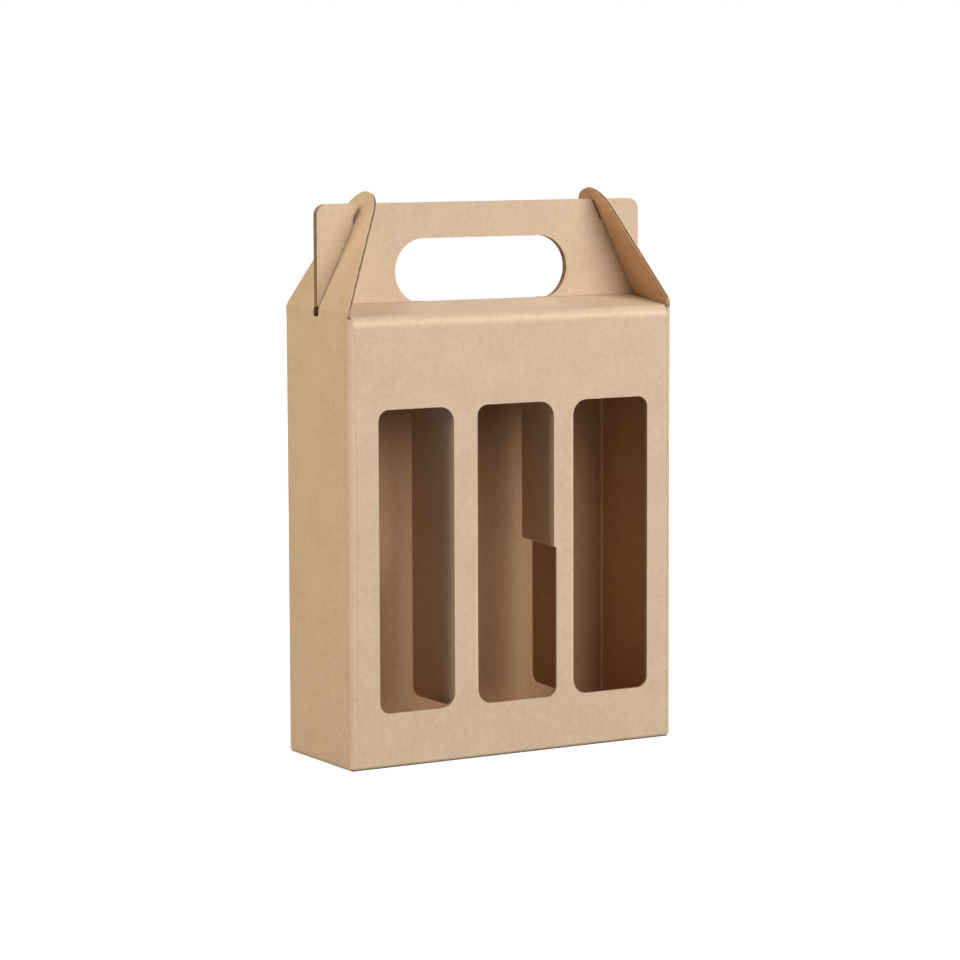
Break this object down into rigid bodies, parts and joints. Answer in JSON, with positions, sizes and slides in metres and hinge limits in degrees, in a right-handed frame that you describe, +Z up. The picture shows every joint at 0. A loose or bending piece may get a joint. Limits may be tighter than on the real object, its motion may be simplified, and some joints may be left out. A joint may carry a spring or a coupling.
{
  "type": "gable box",
  "caption": "Kraft corrugated carrier box with slotted gable ears locking over a two-ply handle, board windows folded in as bottle dividers, and a snap-lock bottom.",
  "frame": {"origin": "on the floor under the middle of the box", "axes": "+X to the right along the front, +Y from front to back, +Z up"},
  "size_m": [0.202, 0.072, 0.3048],
  "materials": {
    "kraft_board": "uncoated brown kraft liner",
    "seam_glue": "dried adhesive"
  },
  "bodies": {
    "body": {"front_panel": "kraft_board", "back_panel": "kraft_board", "left_side_panel": "kraft_board", "right_side_panel": "kraft_board", "glue_flap": "kraft_board", "seam_glue": "seam_glue", "bottom_back_flap": "kraft_board", "bottom_left_flap": "kraft_board", "bottom_right_flap": "kraft_board", "bottom_front_flap": "kraft_board"},
    "left_ear": {"left_ear": "kraft_board"},
    "right_ear": {"right_ear": "kraft_board"},
    "front_roof": {"front_roof_panel": "kraft_board"},
    "back_roof": {"back_roof_panel": "kraft_board"},
    "front_handle": {"front_handle_ply": "kraft_board"},
    "back_handle": {"back_handle_ply": "kraft_board"},
    "left_divider": {"left_divider": "kraft_board"},
    "centre_upper_divider": {"centre_upper_divider": "kraft_board"},
    "centre_lower_divider": {"centre_lower_divider": "kraft_board"},
    "right_divider": {"right_divider": "kraft_board"}
  },
  "joints": [
    {"name": "left_ear_fold", "type": "hinge", "parent": "body", "child": "left_ear", "pos_m": [-0.101, 0, 0.243], "axis": [0, -1, 0], "range_deg": [0, 178]},
    {"name": "right_ear_fold", "type": "hinge", "parent": "body", "child": "right_ear", "pos_m": [0.101, 0, 0.243], "axis": [0, 1, 0], "range_deg": [0, 178]},
    {"name": "front_roof_fold", "type": "hinge", "parent": "body", "child": "front_roof", "pos_m": [0, -0.036, 0.24], "axis": [1, 0, 0], "range_deg": [0, 77.3]},
    {"name": "back_roof_fold", "type": "hinge", "parent": "body", "child": "back_roof", "pos_m": [0, 0.036, 0.24], "axis": [-1, 0, 0], "range_deg": [0, 77.3]},
    {"name": "front_handle_fold", "type": "hinge", "parent": "front_roof", "child": "front_handle", "pos_m": [0, -0.0002, 0.24344], "axis": [-1, 0, 0], "range_deg": [0, 77.3]},
    {"name": "back_handle_fold", "type": "hinge", "parent": "back_roof", "child": "back_handle", "pos_m": [0, 0.0002, 0.24344], "axis": [1, 0, 0], "range_deg": [0, 77.3]},
    {"name": "left_divider_fold", "type": "hinge", "parent": "body", "child": "left_divider", "pos_m": [-0.0388, -0.036, 0.1099], "axis": [0, 0, 1], "range_deg": [-3, 90]},
    {"name": "centre_upper_divider_fold", "type": "hinge", "parent": "body", "child": "centre_upper_divider", "pos_m": [0.0236, -0.036, 0.14645], "axis": [0, 0, 1], "range_deg": [0, 100.5]},
    {"name": "centre_lower_divider_fold", "type": "hinge", "parent": "body", "child": "centre_lower_divider", "pos_m": [-0.0231, -0.036, 0.07445], "axis": [0, 0, -1], "range_deg": [0, 97]},
    {"name": "right_divider_fold", "type": "hinge", "parent": "body", "child": "right_divider", "pos_m": [0.0372, -0.036, 0.1099], "axis": [0, 0, -1], "range_deg": [-5.4, 84.6]}
  ],
  "couplings": [
    {"joint": "right_ear_fold", "follows": "left_ear_fold", "ratio": 1},
    {"joint": "front_roof_fold", "follows": "left_ear_fold", "ratio": 0.434},
    {"joint": "back_roof_fold", "follows": "left_ear_fold", "ratio": 0.434},
    {"joint": "front_handle_fold", "follows": "left_ear_fold", "ratio": 0.434},
    {"joint": "back_handle_fold", "follows": "left_ear_fold", "ratio": 0.434}
  ]
}
